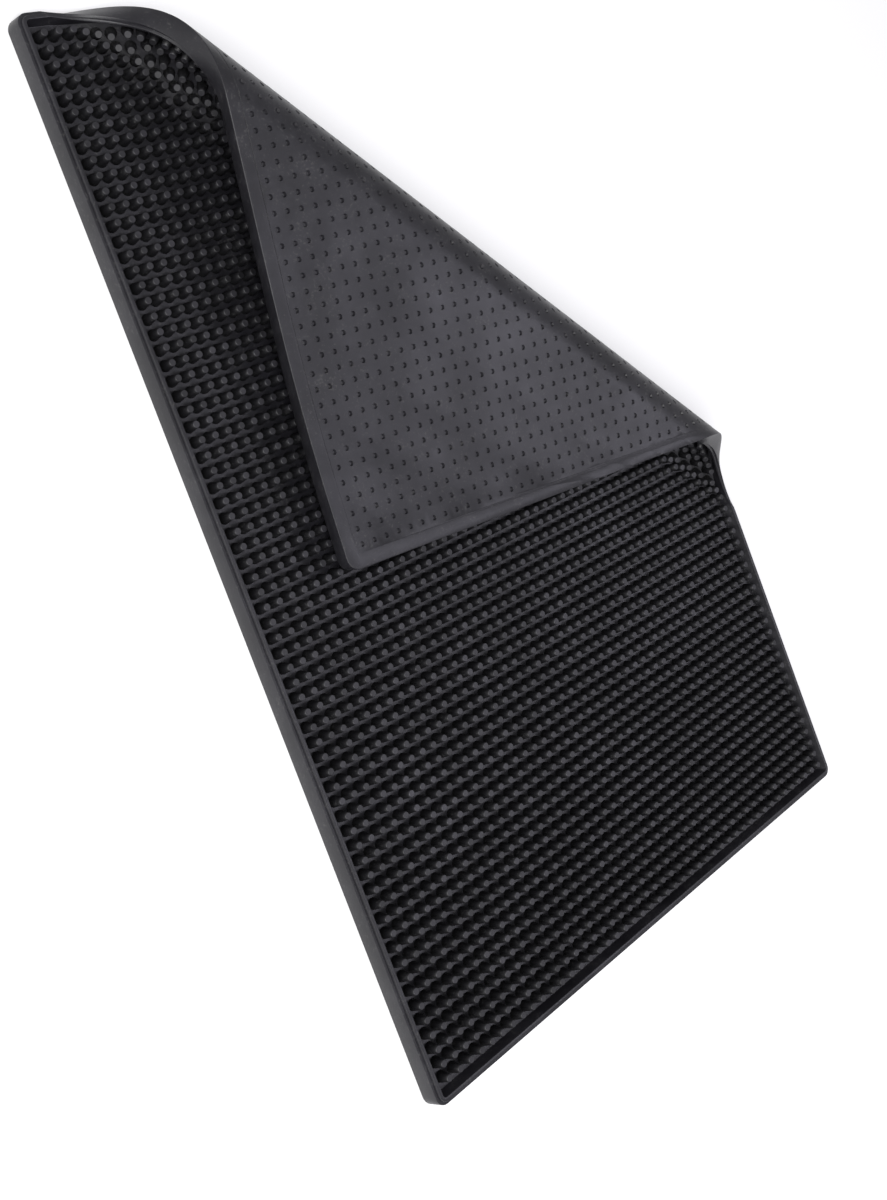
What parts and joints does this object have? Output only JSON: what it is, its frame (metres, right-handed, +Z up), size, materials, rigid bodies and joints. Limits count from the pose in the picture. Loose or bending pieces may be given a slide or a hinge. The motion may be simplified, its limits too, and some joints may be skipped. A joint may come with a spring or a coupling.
{
  "type": "bar service mat",
  "caption": "Soft black rubber bar service mat with a raised rim and a field of nubs, lying flat with one corner folded back, which unrolls.",
  "frame": {"origin": "centre of the flat mat's outline on the surface it lies on", "axes": "+Z up out of the nub side, +Y along the long side toward the folded end, +X along the short side toward the folded corner"},
  "size_m": [0.3, 0.45, 0.0418],
  "materials": {
    "floor_rubber": "matt moulded soft rubber, fine grain",
    "rim_rubber": "satin moulded soft rubber"
  },
  "bodies": {
    "base": {"base_panel": "floor_rubber", "rim_left": "rim_rubber", "rim_front": "rim_rubber", "rim_right": "rim_rubber", "rim_back": "rim_rubber"},
    "bend_1": {"bend_1_panel": "floor_rubber", "bend_1_rim": "rim_rubber"},
    "bend_2": {"bend_2_panel": "floor_rubber", "bend_2_rim": "rim_rubber"},
    "bend_3": {"bend_3_panel": "floor_rubber", "bend_3_rim": "rim_rubber"},
    "bend_4": {"bend_4_panel": "floor_rubber", "bend_4_rim": "rim_rubber"},
    "bend_5": {"bend_5_panel": "floor_rubber", "bend_5_rim": "rim_rubber"},
    "bend_6": {"bend_6_panel": "floor_rubber", "bend_6_rim": "rim_rubber"},
    "bend_7": {"bend_7_panel": "floor_rubber", "bend_7_rim": "rim_rubber"},
    "bend_8": {"bend_8_panel": "floor_rubber", "bend_8_rim": "rim_rubber"},
    "bend_9": {"bend_9_panel": "floor_rubber", "bend_9_rim": "rim_rubber"},
    "bend_10": {"bend_10_panel": "floor_rubber", "bend_10_rim": "rim_rubber"},
    "bend_11": {"bend_11_panel": "floor_rubber", "bend_11_rim": "rim_rubber"},
    "flap_1": {"flap_1_panel": "floor_rubber", "flap_1_rim": "rim_rubber"},
    "flap_2": {"flap_2_panel": "floor_rubber", "flap_2_rim": "rim_rubber"},
    "flap_3": {"flap_3_panel": "floor_rubber", "flap_3_rim": "rim_rubber"},
    "flap_4": {"flap_4_panel": "floor_rubber", "flap_4_rim": "rim_rubber"}
  },
  "joints": [
    {"name": "roll_1", "type": "hinge", "parent": "base", "child": "bend_1", "pos_m": [-0.13492, 0.225, 0], "axis": [-0.6922, 0.7217, 0], "range_deg": [0, 16.08]},
    {"name": "roll_2", "type": "hinge", "parent": "bend_1", "child": "bend_2", "pos_m": [-0.12692, 0.22484, 0.00163], "axis": [-0.6915, 0.7224, 0.0003], "range_deg": [0, 16.08]},
    {"name": "roll_3", "type": "hinge", "parent": "bend_2", "child": "bend_3", "pos_m": [-0.1194, 0.22421, 0.00477], "axis": [-0.6908, 0.723, 0.0009], "range_deg": [0, 16.08]},
    {"name": "roll_4", "type": "hinge", "parent": "bend_3", "child": "bend_4", "pos_m": [-0.11266, 0.22285, 0.00917], "axis": [-0.6903, 0.7235, 0.0017], "range_deg": [0, 16.08]},
    {"name": "roll_5", "type": "hinge", "parent": "bend_4", "child": "bend_5", "pos_m": [-0.10691, 0.22053, 0.01449], "axis": [-0.6899, 0.7239, 0.0028], "range_deg": [0, 16.08]},
    {"name": "roll_6", "type": "hinge", "parent": "bend_5", "child": "bend_6", "pos_m": [-0.10231, 0.21713, 0.02031], "axis": [-0.6897, 0.7241, 0.0041], "range_deg": [0, 16.08]},
    {"name": "roll_7", "type": "hinge", "parent": "bend_6", "child": "bend_7", "pos_m": [-0.0989, 0.21258, 0.02618], "axis": [-0.6898, 0.7239, 0.0055], "range_deg": [0, 16.08]},
    {"name": "roll_8", "type": "hinge", "parent": "bend_7", "child": "bend_8", "pos_m": [-0.09666, 0.20692, 0.03163], "axis": [-0.6902, 0.7235, 0.0069], "range_deg": [0, 16.08]},
    {"name": "roll_9", "type": "hinge", "parent": "bend_8", "child": "bend_9", "pos_m": [-0.09546, 0.20029, 0.03623], "axis": [-0.691, 0.7228, 0.0082], "range_deg": [0, 16.08]},
    {"name": "roll_10", "type": "hinge", "parent": "bend_9", "child": "bend_10", "pos_m": [-0.09509, 0.19286, 0.03962], "axis": [-0.692, 0.7219, 0.0091], "range_deg": [0, 16.08]},
    {"name": "roll_11", "type": "hinge", "parent": "bend_10", "child": "bend_11", "pos_m": [-0.09528, 0.18493, 0.04152], "axis": [-0.6932, 0.7207, 0.0097], "range_deg": [0, 16.08]},
    {"name": "roll_12", "type": "hinge", "parent": "bend_11", "child": "flap_1", "pos_m": [-0.09571, 0.17678, 0.04179], "axis": [-0.6947, 0.7193, 0.0099], "range_deg": [0, 16.08]},
    {"name": "settle_1", "type": "hinge", "parent": "flap_1", "child": "flap_2", "pos_m": [-0.09953, 0.08663, 0.02608], "axis": [0.8514, -0.5224, 0.0481], "range_deg": [0, 3.33]},
    {"name": "settle_2", "type": "hinge", "parent": "flap_2", "child": "flap_3", "pos_m": [-0.10115, 0.05391, 0.02208], "axis": [0.9004, -0.4302, 0.065], "range_deg": [0, 3.33]},
    {"name": "settle_3", "type": "hinge", "parent": "flap_3", "child": "flap_4", "pos_m": [-0.10296, 0.02104, 0.01984], "axis": [0.9525, -0.2943, 0.0788], "range_deg": [0, 3.33]}
  ],
  "couplings": [
    {"joint": "settle_1", "follows": "roll_12", "ratio": 0.20725},
    {"joint": "settle_2", "follows": "roll_12", "ratio": 0.20725},
    {"joint": "settle_3", "follows": "roll_12", "ratio": 0.20725}
  ]
}
